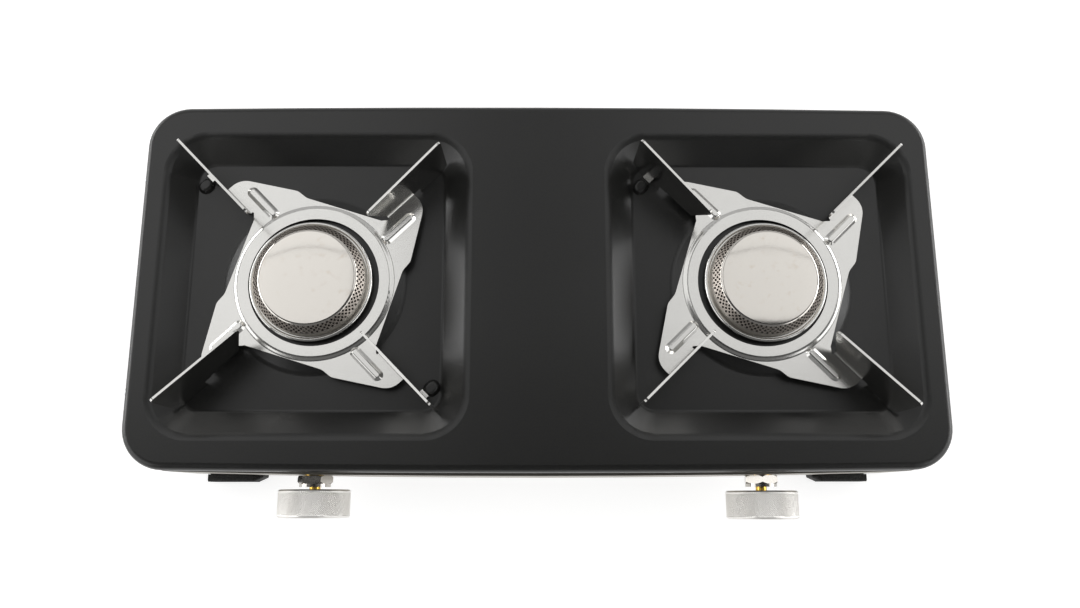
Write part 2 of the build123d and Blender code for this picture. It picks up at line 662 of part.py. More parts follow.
def inlet_inner_y():
    """Where the inlet fitting starts inside the case."""
    return rear_wall_y - BASE_SHEET - SLIP_FIT - 16


def inlet_pipe():
    """The pipe from the inlet fitting to the tee."""
    start = pipe_y + TEE_SIZE / 2 - PIPE_SOCKET + FIXED_FIT
    end = inlet_inner_y() + PIPE_SOCKET - FIXED_FIT
    return rod_y(PIPE_RADIUS, 0, pipe_z, start, end) - rod_y(PIPE_BORE, 0, pipe_z, start, end)


def inlet_fitting():
    """The brass gas inlet through the back wall, with its shoulder inside and its thread outside."""
    shoulder_y = rear_wall_y - BASE_SHEET - SLIP_FIT
    inner = inlet_inner_y()
    step_y = inlet_nut_y + INLET_NUT
    piece = rod_y(INLET_RADIUS, 0, pipe_z, step_y, inlet_end_y)
    piece = chamfer(piece.faces().sort_by(Axis.Y)[-1].edges(), 1.0)
    piece += rod_y(INLET_BODY_RADIUS, 0, pipe_z, inner, step_y)
    piece += hex_y(INLET_FLATS, 0, pipe_z, shoulder_y - 7, shoulder_y)
    piece -= rod_y(PIPE_RADIUS + FIXED_FIT, 0, pipe_z, inner, inner + PIPE_SOCKET)
    return piece - rod_y(PIPE_BORE + 1, 0, pipe_z, inner + PIPE_SOCKET, inlet_end_y)


def inlet_nut():
    """The lock nut of the gas inlet, against the back wall."""
    nut = hex_y(INLET_FLATS, 0, pipe_z, inlet_nut_y, inlet_nut_y + INLET_NUT)
    return nut - rod_y(INLET_BODY_RADIUS + FIXED_FIT, 0, pipe_z, inlet_nut_y, inlet_nut_y + INLET_NUT)


def pipe_nuts():
    """The compression nuts where the pipes meet the valves, the tee and the inlet."""
    nuts = []
    for side in (-1, 1):
        for face, outward in ((side * TEE_SIZE / 2, side), (side * (burner_x - VALVE_WIDTH / 2), -side)):
            far = face + outward * PIPE_NUT_LENGTH
            nut = hex_x(PIPE_NUT_FLATS, pipe_y, pipe_z, face, far)
            nuts.append(nut - rod_x(PIPE_RADIUS + FIXED_FIT, pipe_y, pipe_z, face, far))
    for face, outward in ((pipe_y + TEE_SIZE / 2, 1), (inlet_inner_y(), -1)):
        far = face + outward * PIPE_NUT_LENGTH
        nut = hex_y(PIPE_NUT_FLATS, 0, pipe_z, face, far)
        nuts.append(nut - rod_y(PIPE_RADIUS + FIXED_FIT, 0, pipe_z, face, far))
    return group(nuts)


def bracket_rivet_places():
    """The rivets that hold the two burner brackets to the floor of the base."""
    reach = BRACKET_SPAN / 2 + BRACKET_FOOT / 2
    return [(x + side * reach, 0) for x in (-head_x, head_x) for side in (-1, 1)]


def burner_bracket(x):
    """The hat-shaped bracket that carries a burner bowl."""
    half, sheet = BRACKET_SPAN / 2, BRACKET_SHEET
    out = half + BRACKET_FOOT
    profile = Polyline(
        (-out, floor_top_z), (-half + sheet, floor_top_z), (-half + sheet, cup_bottom_z - sheet),
        (half - sheet, cup_bottom_z - sheet), (half - sheet, floor_top_z), (out, floor_top_z),
        (out, floor_top_z + sheet), (half, floor_top_z + sheet), (half, cup_bottom_z),
        (-half, cup_bottom_z), (-half, floor_top_z + sheet), (-out, floor_top_z + sheet), close=True)
    hat = Pos(x, BRACKET_WIDTH / 2, 0) * extrude(Plane.XZ * make_face(profile), amount=BRACKET_WIDTH)
    hat -= rod_z(SCREW_RADIUS + FIXED_FIT, x, 0, cup_bottom_z - 2 * sheet, cup_bottom_z)
    for rivet_x, rivet_y in bracket_rivet_places():
        hat -= rod_z(SCREW_RADIUS + FIXED_FIT, rivet_x, rivet_y, floor_top_z, floor_top_z + sheet)
    return hat


def rivet(x, y, low, high):
    """A rivet that grips the sheets between two heights."""
    shank = rod_z(SCREW_RADIUS, x, y, low, high)
    lower_head = rod_z(RIVET_HEAD_RADIUS, x, y, low - RIVET_HEAD, low)
    return lower_head + shank + rod_z(RIVET_HEAD_RADIUS, x, y, high, high + RIVET_HEAD)


def burner_rivets():
    """One rivet through each bowl and its bracket."""
    low, high = cup_bottom_z - BRACKET_SHEET, cup_bottom_z + CUP_SHEET
    return group([rivet(x, 0, low, high) for x in (-head_x, head_x)])


def bracket_rivets():
    """The rivets through the bracket feet and the base."""
    high = floor_top_z + BRACKET_SHEET
    return group([rivet(x, y, GROUND_GAP, high) for x, y in bracket_rivet_places()])


def leaf_corners():
    """Corners of one leaf of a pan support, along its blade and clockwise of it."""
    edge_along, edge_across = 0.4745, 0.8803
    shoulder_u = leaf_edge_radius * 0.889
    shoulder_n = (leaf_edge_radius - edge_along * shoulder_u) / edge_across
    brow_u, brow_n = shoulder_u + 6.4, shoulder_n - 0.75
    notch = (leaf_edge_radius + edge_along * 0.6) / edge_across
    return (shoulder_u, shoulder_n), (brow_u, brow_n), (leaf_tip, LEAF_TIP_WIDTH), notch


def support_leaf():
    """One flat leaf of the plate, drawn with its blade along +X and its width towards -Y."""
    shoulder, brow, tip, notch = leaf_corners()
    bend = SUPPORT_SHEET / 2 + 2 * BEND_RADIUS
    corners = [(0, 0), (notch, 0), (notch + 2.5, -bend), (tip[0], -bend), (tip[0], -tip[1]),
               (brow[0], -brow[1]), (shoulder[0], -shoulder[1]), (-0.6, -notch)]
    face = make_face(Polyline(*corners, close=True))
    rounding = {tip: TIP_RADIUS, brow: 6.0, shoulder: 8.0}
    for corner, radius in rounding.items():
        spot = face.vertices().sort_by_distance((corner[0], -corner[1], 0))[0]
        face = fillet(spot, radius)
    return slab(face, leaf_z - SUPPORT_SHEET, leaf_z)


def support_blade(tabbed):
    """One upright blade with its bend into the leaf, its foot and, on two arms, a locating tab."""
    notch = leaf_corners()[3]
    half = SUPPORT_SHEET / 2
    foot_z = recess_z + SUPPORT_SEAT_GAP
    bend_top = leaf_z + BEND_RADIUS + 0.2
    start = notch + 3.4
    outline = Polyline(
        (start, bend_top), (leaf_tip, bend_top), (leaf_tip, leaf_z - 0.6), (foot_inner, leaf_z - 0.6),
        (foot_inner, foot_z), (foot_outer - FOOT_CHAMFER, foot_z), (foot_outer, foot_z + FOOT_CHAMFER),
        (blade_outer, blade_tip_z), (start - BLADE_LEAN_IN, blade_z), close=True)
    face = make_face(outline)
    for spot, radius in (((blade_outer, blade_tip_z), 2.0), ((start - BLADE_LEAN_IN, blade_z), 2.5),
                         ((foot_inner, leaf_z - 0.6), 1.5)):
        face = fillet(face.vertices().sort_by_distance((spot[0], spot[1], 0))[0], radius)
    blade = Pos(0, half, 0) * extrude(Plane.XZ * face, amount=SUPPORT_SHEET)
    flange, under = -half - 3 * BEND_RADIUS, leaf_z - SUPPORT_SHEET
    section = make_face(Polyline(
        (half, bend_top + 2), (half, under), (flange, under), (flange, leaf_z), (-half, leaf_z),
        (-half, bend_top + 2), close=True))
    for spot, radius in (((half, under), BEND_RADIUS + SUPPORT_SHEET), ((-half, leaf_z), BEND_RADIUS)):
        section = fillet(section.vertices().sort_by_distance((spot[0], spot[1], 0))[0], radius)
    strip = Pos(start, 0, 0) * extrude(Plane.YZ * section, amount=leaf_tip - start)
    blade += strip
    if tabbed:
        tab_start = dimple_reach - TAB_LENGTH / 2
        tab_z = foot_z + DIMPLE_RISE + SLIP_FIT
        low_middle = (Align.MIN, Align.CENTER, Align.MIN)
        gap = Box(TAB_LENGTH, 2 * SUPPORT_SHEET, tab_z - foot_z, align=low_middle)
        blade -= Pos(tab_start, 0, foot_z) * gap
        tab = Box(TAB_LENGTH, TAB_REACH, SUPPORT_SHEET, align=(Align.MIN, Align.MIN, Align.MIN))
        blade += Pos(tab_start, 0, tab_z) * tab
    return blade


def support_bead(width, low, high, trim):
    """The raised rib of one leaf, from the ring to near the tip."""
    start, end = ring_radius + RING_RUN + 1.5, leaf_tip - BEAD_SETBACK - width / 2 + trim
    foot_width = width + 1.4
    top_width = foot_width - 2 * BEAD_SLOPE
    middle, length = (start + end) / 2, end - start
    low_slot = Pos(middle, -BEAD_OFFSET, low) * SlotCenterToCenter(length, foot_width)
    high_slot = Pos(middle, -BEAD_OFFSET, high) * SlotCenterToCenter(length, top_width)
    rib = loft([low_slot, high_slot], ruled=True)
    return fillet(rib.faces().sort_by(Axis.Z)[-1].edges(), BEAD_ROLL)


def pan_support(x):
    """A pressed plate with a raised ring round the burner and four leaves bent up into blades."""
    sheet = SUPPORT_SHEET
    plate, ribs, hollows, blades = Part(), Part(), Part(), Part()
    for arm in range(4):
        turn = Rot(0, 0, 90 * arm)
        plate += turn * support_leaf()
        ribs += turn * support_bead(BEAD_WIDTH, leaf_z - sheet / 4, bead_z, 0)
        hollows += turn * support_bead(BEAD_WIDTH - 1.6, leaf_z - sheet, bead_z - sheet, -0.4)
        blades += turn * support_blade(arm in dimple_arms)
    ring_foot = ring_radius + RING_RUN
    lap = ring_foot + 0.45
    section = make_face(Polyline(
        (hole_radius, ring_z - sheet), (hole_radius, ring_z), (ring_radius, ring_z), (ring_foot, leaf_z),
        (lap, leaf_z), (lap, leaf_z - sheet), (ring_foot - 0.5, leaf_z - sheet), (ring_radius - 0.5, ring_z - sheet),
        close=True))
    for spot, radius in (((ring_radius, ring_z), RING_ROLL), ((ring_foot, leaf_z), RING_FILLET)):
        section = fillet(section.vertices().sort_by_distance((spot[0], spot[1], 0))[0], radius)
    ring = revolve(Plane.XZ * section, Axis.Z)
    plate -= rod_z(ring_foot, 0, 0, leaf_z - sheet, leaf_z)
    plate = plate + ring + ribs - hollows + blades
    plate -= rod_z(hole_radius, 0, 0, leaf_z - sheet, ring_z)
    return Pos(x, 0, 0) * Rot(0, 0, SUPPORT_TURN) * plate


def build_nodes():
    """Every piece of the stove, by name."""
    nodes = {
        "top_tray": top_tray(),
        "base_pan": base_pan(),
        "case_screws": case_screws(),
        "foot_screws": foot_screws(),
        "foot_nuts": foot_nuts(),
        "manifold_tee": manifold_tee(),
        "inlet_pipe": inlet_pipe(),
        "inlet_fitting": inlet_fitting(),
        "inlet_nut": inlet_nut(),
        "pipe_nuts": pipe_nuts(),
        "burner_rivets": burner_rivets(),
        "bracket_rivets": bracket_rivets(),
    }
    for name, side, opened, turn in (("left", -1, 0.0, 0), ("right", 1, RIGHT_VALVE_OPEN, 22)):
        x = side * burner_x
        head = side * head_x
        nodes[f"front_{name}_foot"] = foot(side, -1)
        nodes[f"rear_{name}_foot"] = foot(side, 1)
        nodes[f"{name}_burner_bracket"] = burner_bracket(head)
        nodes[f"{name}_burner_cup"] = burner_cup(head, x)
        nodes[f"{name}_burner_cap"] = burner_cap(head)
        nodes[f"{name}_mixing_tube"] = mixing_tube(x)
        nodes[f"{name}_jet"] = jet(x)
        nodes[f"{name}_valve_body"] = valve_body(x)
        nodes[f"{name}_gas_pipe"] = gas_pipe(side)
        nodes[f"{name}_gland_nut"] = gland_nut(x, turn)
        nodes[f"{name}_spindle"] = spindle(x, opened)
        nodes[f"{name}_spindle_seal"] = spindle_seal(x, opened)
        nodes[f"{name}_knob"] = knob(x, opened)
        nodes[f"{name}_knob_screw"] = knob_screw(x, opened)
        nodes[f"{name}_pan_support"] = pan_support(x)
    return nodes


os.makedirs("parts", exist_ok=True)
for node, shape in build_nodes().items():
    export_step(Pos(0, frame_shift_y, 0) * shape, f"parts/{node}.step")
print("frame shift along Y", round(frame_shift_y, 3))
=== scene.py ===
import json
import math

import bmesh
import bpy
from mathutils import Matrix, Vector


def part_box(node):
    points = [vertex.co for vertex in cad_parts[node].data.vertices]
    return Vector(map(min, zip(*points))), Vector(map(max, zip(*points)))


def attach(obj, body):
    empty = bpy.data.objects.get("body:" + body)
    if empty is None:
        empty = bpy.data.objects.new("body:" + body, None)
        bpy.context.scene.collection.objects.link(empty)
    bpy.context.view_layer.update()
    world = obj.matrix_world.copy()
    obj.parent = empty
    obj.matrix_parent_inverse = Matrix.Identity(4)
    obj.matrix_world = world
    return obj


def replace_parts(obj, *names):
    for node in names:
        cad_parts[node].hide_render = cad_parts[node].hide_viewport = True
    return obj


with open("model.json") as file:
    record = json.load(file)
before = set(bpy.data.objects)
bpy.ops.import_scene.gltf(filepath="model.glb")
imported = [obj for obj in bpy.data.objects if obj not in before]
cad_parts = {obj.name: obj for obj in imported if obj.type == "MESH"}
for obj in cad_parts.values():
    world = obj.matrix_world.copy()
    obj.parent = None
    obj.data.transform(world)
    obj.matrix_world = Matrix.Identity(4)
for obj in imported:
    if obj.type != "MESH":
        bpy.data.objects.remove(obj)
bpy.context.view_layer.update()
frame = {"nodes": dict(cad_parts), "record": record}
nodes = frame["nodes"]

MM = 0.001
FULL_TURN = 2 * math.pi
QUARTER_TURN = math.pi / 2
SIDES = ("left", "right")

# The burner cap in millimetres: a shallow crown, a rounded shoulder, the sloping flame band, a flange and the skirt.
# A round is a corner's place in the profile, the length it cuts back and its segments.
CAP_TOP = 74.5
CAP_PROFILE = [(0, CAP_TOP), (8, 74.43), (16, 74.24), (26.0, 73.9), (30.2, 69.5), (30.65, 67.8), (30.65, 60.5)]
CAP_ROUNDS = [(3, 0.8, 6), (4, 0.3, 3), (5, 0.3, 3)]
CAP_SHEET = 0.8
BAND_HIGH, BAND_LOW = 73.32, 69.72
HOLES_ROUND = 66
HOLE_ROWS = 4
HOLE_RADIUS = 0.66
HOLE_INSET = 0.1
# Heights over which the cap's finish changes: the straw tint sets in, the mirror turns satin, the soot begins and ends
TINT_SPAN = (73.5 * MM, 66.5 * MM)
SATIN_SPAN = (73.8 * MM, 73.0 * MM)
SOOT_TOP = (73.6 * MM, 73.0 * MM)
SOOT_FOOT = (69.2 * MM, 69.8 * MM)

# The knob in millimetres, from its back face to its front
KNOB_RADIUS = 19.5
KNOB_LENGTH = 15.1
KNOB_CHAMFER = 0.8
KNOB_FACE_RADIUS = KNOB_RADIUS - KNOB_CHAMFER
KNOB_BORE_RADIUS = 3.05
KNOB_BORE_DEPTH = 11.5
KNOB_PROFILE = [
    (0, KNOB_BORE_DEPTH), (KNOB_BORE_RADIUS, KNOB_BORE_DEPTH), (KNOB_BORE_RADIUS, 0), (KNOB_FACE_RADIUS, 0),
    (KNOB_RADIUS, KNOB_CHAMFER), (KNOB_RADIUS, KNOB_LENGTH - KNOB_CHAMFER), (KNOB_FACE_RADIUS, KNOB_LENGTH),
    (0, KNOB_LENGTH)]
KNOB_ROUNDS = [(3, 0.3, 3), (4, 0.25, 3), (5, 0.25, 3), (6, 0.3, 3)]
KNOB_CREASE = 20
# The real knurl's pitch of 0.8 mm is drawn at 1 mm so that its diamonds show
KNURL_COLUMNS = 246
KNURL_ROWS = 26
KNURL_DEPTH = 0.2
KNURL_LOW = 1.05
KNURL_HIGH = KNOB_LENGTH - KNURL_LOW
GRUB_SCREW_AT = 6.55
GRUB_SCREW_HOLE = 2.05
GRUB_SCREW_CUT = 2.4
GRUB_SCREW_END = 3.6

# The cross-head screws in millimetres, and how far each of a pair is turned in radians
SCREW_HEAD = 2.2
SCREW_HEAD_RADIUS = 3.6
SCREW_RADIUS = 2.0
CROSS_REACH = 1.9
CROSS_HALF_WIDTH = 0.45
CROSS_DEPTH = 1.2
CROSS_TAPER = 0.7
CASE_SCREW_CROWN = 0.1
CASE_SCREW_SHANK = 8.0
CASE_SCREW_ROUND = 1.3
CASE_SCREW_TURNS = (0.3, 1.1)
FOOT_SCREW_SHANK = 7.8
FOOT_SCREW_ROUND = 0.4
FOOT_SCREW_TURNS = (0.2, 0.9)

# The gas inlet in millimetres along its axis, from its inner end to its threaded end
INLET_BODY = [(3.0, 0), (8.0, 0), (8.0, 20.2), (5.75, 20.2), (5.75, 27.1), (5.2, 27.7), (3.0, 27.7)]
INLET_HEX = [(7.9, 9.0), (12.7, 9.0), (12.7, 16.0), (7.9, 16.0)]
INLET_STEPS = 48
INLET_CREASE = 25
THREAD_SECTION = [(5.6, -0.6), (6.58, -0.12), (6.58, 0.12), (5.6, 0.6)]
THREAD_PITCH = 1.337
THREAD_START = 21.0
THREAD_TURNS = 4
THREAD_STEPS = 32


def linear(code):
    """An sRGB hex colour as linear red, green, blue and alpha."""
    channels = [int(code[i:i + 2], 16) / 255 for i in (1, 3, 5)]
    return [c / 12.92 if c <= 0.04045 else ((c + 0.055) / 1.055) ** 2.4 for c in channels] + [1.0]


def add(tree, kind, inputs=None, **settings):
    """Adds a node, sets its properties, and gives its inputs a value or a link from (node, output)."""
    node = tree.nodes.new(kind)
    for name, value in settings.items():
        setattr(node, name, value)
    for name, value in (inputs or {}).items():
        if isinstance(value, tuple) and isinstance(value[0], bpy.types.Node):
            tree.links.new(value[0].outputs[value[1]], node.inputs[name])
        else:
            node.inputs[name].default_value = value
    return node


def new_material(name):
    """A material with an empty node tree and its Object coordinates in metres."""
    material = bpy.data.materials.new(name)
    material.use_nodes = True
    tree = material.node_tree
    tree.nodes.clear()
    return material, tree, add(tree, "ShaderNodeTexCoord")


def per_metre(size_mm):
    """The texture scale at which one period of a pattern is that many millimetres."""
    return 1000.0 / size_mm


def middle_of(node):
    """The middle of a CAD node's box, in metres."""
    low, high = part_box(node)
    return (Vector(low) + Vector(high)) / 2


def satin_black_coat():
    # Powder coat baked on pressed steel: a deep, slightly warm black with a soft sheen, broken by the orange
    # peel that the powder leaves and by a slow mottle where the coat is thinner. The peel of about half a
    # millimetre is drawn at twice that so that it shows.
    material, tree, coords = new_material("satin_black_powder_coat")
    point = (coords, "Object")
    peel = add(tree, "ShaderNodeTexNoise", {
        "Vector": point, "Scale": per_metre(1.1), "Detail": 3.0, "Roughness": 0.6})
    mottle = add(tree, "ShaderNodeTexNoise", {
        "Vector": point, "Scale": per_metre(26), "Detail": 5.0, "Roughness": 0.6})
    slow = add(tree, "ShaderNodeMix", {
        "Factor": (mottle, "Fac"), "A": linear("#0E0E0D"), "B": linear("#151514")}, data_type="RGBA")
    fleck = add(tree, "ShaderNodeMapRange", {
        "Value": (peel, "Fac"), "From Min": 0.35, "From Max": 0.75, "To Min": 0.0, "To Max": 0.45})
    tone = add(tree, "ShaderNodeMix", {
        "Factor": (fleck, "Result"), "A": (slow, "Result"), "B": linear("#20201E")}, data_type="RGBA")
    gloss = add(tree, "ShaderNodeMapRange", {
        "Value": (peel, "Fac"), "From Min": 0.3, "From Max": 0.7, "To Min": 0.30, "To Max": 0.40})
    bump = add(tree, "ShaderNodeBump", {"Height": (peel, "Fac"), "Strength": 0.25, "Distance": 0.05 * MM})
    shader = add(tree, "ShaderNodeBsdfPrincipled", {
        "Base Color": (tone, "Result"), "Roughness": (gloss, "Result"), "Normal": (bump, "Normal"), "IOR": 1.5})
    add(tree, "ShaderNodeOutputMaterial", {"Surface": (shader, "BSDF")})
    return material


def metal(name, light, dark, rough, grain_mm, stretch, depth_mm, mottle_mm=30.0):
    """A bare metal whose grain is stretched along one axis, with a slow change of tone."""
    material, tree, coords = new_material(name)
    point = (coords, "Object")
    stretched = add(tree, "ShaderNodeMapping", {"Vector": point, "Scale": stretch})
    grain = add(tree, "ShaderNodeTexNoise", {
        "Vector": (stretched, "Vector"), "Scale": per_metre(grain_mm), "Detail": 3.0, "Roughness": 0.6})
    mottle = add(tree, "ShaderNodeTexNoise", {"Vector": point, "Scale": per_metre(mottle_mm), "Detail": 3.0})
    tone = add(tree, "ShaderNodeMix", {
        "Factor": (mottle, "Fac"), "A": linear(dark), "B": linear(light)}, data_type="RGBA")
    gloss = add(tree, "ShaderNodeMapRange", {"Value": (grain, "Fac"), "To Min": rough[0], "To Max": rough[1]})
    bump = add(tree, "ShaderNodeBump", {"Height": (grain, "Fac"), "Strength": 0.3, "Distance": depth_mm * MM})
    shader = add(tree, "ShaderNodeBsdfPrincipled", {
        "Base Color": (tone, "Result"), "Metallic": 1.0, "Roughness": (gloss, "Result"), "Normal": (bump, "Normal")})
    add(tree, "ShaderNodeOutputMaterial", {"Surface": (shader, "BSDF")})
    return material


def heat_tinted_cap():
    # Deep-drawn stainless that the flames have warmed: a near mirror on the crown with a straw tint that deepens
    # towards the flange, a flame band that soot has dulled and darkened, a few brown smudges where spills burned
    # on, and a satin veil of wiping marks.
    material, tree, coords = new_material("drawn_stainless_heat_tinted")
    point = (coords, "Object")
    height = (add(tree, "ShaderNodeSeparateXYZ", {"Vector": point}), "Z")
    smudge = add(tree, "ShaderNodeTexNoise", {
        "Vector": point, "Scale": per_metre(5), "Detail": 4.0, "Roughness": 0.6})
    veil = add(tree, "ShaderNodeTexNoise", {"Vector": point, "Scale": per_metre(0.5), "Detail": 2.0})
    heat = add(tree, "ShaderNodeMapRange", {
        "Value": height, "From Min": TINT_SPAN[0], "From Max": TINT_SPAN[1], "To Min": 0.0, "To Max": 0.7})
    warm = add(tree, "ShaderNodeMix", {
        "Factor": (heat, "Result"), "A": linear("#C9C5BF"), "B": linear("#C2BBB1")}, data_type="RGBA")
    spot = add(tree, "ShaderNodeMapRange", {
        "Value": (smudge, "Fac"), "From Min": 0.58, "From Max": 0.75, "To Min": 0.0, "To Max": 0.25})
    tone = add(tree, "ShaderNodeMix", {
        "Factor": (spot, "Result"), "A": (warm, "Result"), "B": linear("#B7A793")}, data_type="RGBA")
    begun = add(tree, "ShaderNodeMapRange", {"Value": height, "From Min": SOOT_TOP[0], "From Max": SOOT_TOP[1]})
    ended = add(tree, "ShaderNodeMapRange", {"Value": height, "From Min": SOOT_FOOT[0], "From Max": SOOT_FOOT[1]})
    band = add(tree, "ShaderNodeMath", {0: (begun, "Result"), 1: (ended, "Result")}, operation="MULTIPLY")
    sooted = add(tree, "ShaderNodeMix", {
        "Factor": (band, "Value"), "A": (tone, "Result"), "B": linear("#98918A")}, data_type="RGBA")
    satin = add(tree, "ShaderNodeMapRange", {
        "Value": height, "From Min": SATIN_SPAN[0], "From Max": SATIN_SPAN[1], "To Min": 0.05, "To Max": 0.38})
    gloss = add(tree, "ShaderNodeMath", {0: (smudge, "Fac"), 1: 0.08, 2: (satin, "Result")}, operation="MULTIPLY_ADD")
    bump = add(tree, "ShaderNodeBump", {"Height": (veil, "Fac"), "Strength": 0.15, "Distance": 0.008 * MM})
    shader = add(tree, "ShaderNodeBsdfPrincipled", {
        "Base Color": (sooted, "Result"), "Metallic": 1.0, "Roughness": (gloss, "Value"), "Normal": (bump, "Normal")})
    add(tree, "ShaderNodeOutputMaterial", {"Surface": (shader, "BSDF")})
    return material


def turned_knob_alloy():
    # Aluminium turned on a lathe and left bare: pale and satin on the knurled rim, smoother on the flat faces, where
    # the tool left rings. The flat faces are painted a shade darker: painted shade that holds down the light they
    # catch.
    # The feed of about 0.3 mm is drawn at three times that so that it shows. Both knobs lie as far from the middle, so
    # one pattern on the distance to either side serves both.
    material, tree, coords = new_material("turned_aluminium")
    point = (coords, "Object")
    axis = middle_of("right_knob")
    parts = add(tree, "ShaderNodeSeparateXYZ", {"Vector": point})
    outward = add(tree, "ShaderNodeMath", {0: (parts, "X")}, operation="ABSOLUTE")
    across = add(tree, "ShaderNodeMath", {0: (outward, "Value"), 1: axis.x}, operation="SUBTRACT")
    upward = add(tree, "ShaderNodeMath", {0: (parts, "Z"), 1: axis.z}, operation="SUBTRACT")
    from_axis = add(tree, "ShaderNodeCombineXYZ", {"X": (across, "Value"), "Z": (upward, "Value")})
    radius = add(tree, "ShaderNodeVectorMath", {0: (from_axis, "Vector")}, operation="LENGTH")
    phase = add(tree, "ShaderNodeMath", {0: (radius, "Value"), 1: per_metre(0.9) * FULL_TURN}, operation="MULTIPLY")
    rings = add(tree, "ShaderNodeMath", {0: (phase, "Value")}, operation="SINE")
    on_face = add(tree, "ShaderNodeMath", {0: (radius, "Value"), 1: KNOB_FACE_RADIUS * MM}, operation="LESS_THAN")
    cut = add(tree, "ShaderNodeMath", {0: (rings, "Value"), 1: (on_face, "Value")}, operation="MULTIPLY")
    cloud = add(tree, "ShaderNodeTexNoise", {"Vector": point, "Scale": per_metre(7), "Detail": 3.0})
    rim = add(tree, "ShaderNodeMix", {
        "Factor": (cloud, "Fac"), "A": linear("#E2E0DC"), "B": linear("#EAE8E4")}, data_type="RGBA")
    # Painted shade: the flat faces get a darker tone than the rim, to hold down the light they catch.
    tone = add(tree, "ShaderNodeMix", {
        "Factor": (on_face, "Value"), "A": (rim, "Result"), "B": linear("#C6C4C0")}, data_type="RGBA")
    satin = add(tree, "ShaderNodeMapRange", {"Value": (on_face, "Value"), "To Min": 0.36, "To Max": 0.22})
    gloss = add(tree, "ShaderNodeMath", {0: (cloud, "Fac"), 1: 0.08, 2: (satin, "Result")}, operation="MULTIPLY_ADD")
    bump = add(tree, "ShaderNodeBump", {"Height": (cut, "Value"), "Strength": 0.5, "Distance": 0.03 * MM})
    shader = add(tree, "ShaderNodeBsdfPrincipled", {
        "Base Color": (tone, "Result"), "Metallic": 1.0, "Roughness": (gloss, "Value"), "Normal": (bump, "Normal")})
    add(tree, "ShaderNodeOutputMaterial", {"Surface": (shader, "BSDF")})
    return material


def black_foot_rubber():
    # Moulded rubber: dull black, with the grit of the mould and dusty high spots.
    material, tree, coords = new_material("moulded_black_rubber")
    point = (coords, "Object")
    grit = add(tree, "ShaderNodeTexNoise", {
        "Vector": point, "Scale": per_metre(0.9), "Detail": 4.0, "Roughness": 0.7})
    dust = add(tree, "ShaderNodeMapRange", {"Value": (grit, "Fac"), "From Min": 0.42, "From Max": 0.68})
    tone = add(tree, "ShaderNodeMix", {
        "Factor": (dust, "Result"), "A": linear("#141414"), "B": linear("#3A3A38")}, data_type="RGBA")
    bump = add(tree, "ShaderNodeBump", {"Height": (grit, "Fac"), "Strength": 0.7, "Distance": 0.3 * MM})
    shader = add(tree, "ShaderNodeBsdfPrincipled", {
        "Base Color": (tone, "Result"), "Roughness": 0.72, "Normal": (bump, "Normal"), "IOR": 1.52})
    add(tree, "ShaderNodeOutputMaterial", {"Surface": (shader, "BSDF")})
    return material


finishes = {
    "black_coat": satin_black_coat(),
    # Zinc-plated sheet with a dull passivated skin: warm grey, soft reflections, a faint rolled grain.
    "grey_steel": metal("zinc_plated_sheet", light="#ABA79F", dark="#98938A", rough=(0.34, 0.46), grain_mm=0.6,
                        stretch=(0.05, 1, 1), depth_mm=0.04, mottle_mm=14.0),
    # Cold-rolled stainless sheet: bright and neutral, reflections softened along the rolling grain.
    "stainless": metal("rolled_stainless_sheet", light="#CECDCA", dark="#C6C5C2", rough=(0.16, 0.24), grain_mm=0.35,
                       stretch=(0.06, 1, 1), depth_mm=0.01, mottle_mm=18.0),
    "warm_stainless": heat_tinted_cap(),
    "turned_aluminium": turned_knob_alloy(),
    # Machined brass: yellow with fine tool rings.
    "brass": metal("machined_brass", light="#DDB65A", dark="#C9A24A", rough=(0.18, 0.30), grain_mm=0.3,
                   stretch=(1, 0.1, 1), depth_mm=0.02),
    # Drawn copper alloy pipe: reddish, slightly dulled.
    "copper_pipe": metal("drawn_copper_pipe", light="#C88A62", dark="#B0744E", rough=(0.25, 0.40), grain_mm=0.6,
                         stretch=(0.1, 1, 1), depth_mm=0.02),
    "black_rubber": black_foot_rubber(),
    # Zinc-plated screws and rivets: bluish grey with a soft bright skin.
    "plated_screw": metal("zinc_plated_screw", light="#C4C6C8", dark="#B2B4B6", rough=(0.22, 0.34), grain_mm=0.4,
                          stretch=(1, 1, 1), depth_mm=0.02),
}

# Nickel-plated gland nuts: a near mirror, a little warmer than the sheet.
polished_nickel = metal("polished_nickel_plate", light="#C4C0BA", dark="#B8B4AE", rough=(0.10, 0.16), grain_mm=0.5,
                        stretch=(1, 1, 1), depth_mm=0.004, mottle_mm=8.0)

for entry in frame["record"]["subparts"]:
    slots = nodes[entry["node"]].data.materials
    slots.clear()
    slots.append(polished_nickel if "gland_nut" in entry["node"] else finishes[entry["material_slot"]])


def lathe(points, steps, rounds=(), split=None, closed=False):
    """A bmesh in millimetres turned about the Z axis from (radius, height) points.

    A split is the height of the middle of one edge and the number of runs it is divided into.
    """
    bm = bmesh.new()
    corners = [bm.verts.new((radius, 0, height)) for radius, height in points]
    edges = [bm.edges.new(pair) for pair in zip(corners, corners[1:])]
    if closed:
        edges.append(bm.edges.new((corners[-1], corners[0])))
    for place_in_list, cut, segments in rounds:
        bmesh.ops.bevel(bm, geom=[corners[place_in_list]], offset=cut, offset_type="OFFSET", segments=segments,
                        profile=0.5, affect="VERTICES", material=-1)
    if split:
        middle, runs = split
        edge = max((e for e in bm.edges if abs((e.verts[0].co.z + e.verts[1].co.z) / 2 - middle) < 0.5
                    and min(v.co.x for v in e.verts) > points[0][0]), key=lambda e: e.calc_length())
        bmesh.ops.subdivide_edges(bm, edges=[edge], cuts=runs - 1)
    bmesh.ops.spin(bm, geom=bm.verts[:] + bm.edges[:], cent=(0, 0, 0), axis=(0, 0, 1), angle=FULL_TURN,
                   steps=steps, use_merge=True)
    bmesh.ops.remove_doubles(bm, verts=bm.verts[:], dist=0.0005)
    bmesh.ops.recalc_face_normals(bm, faces=bm.faces[:])
    return bm


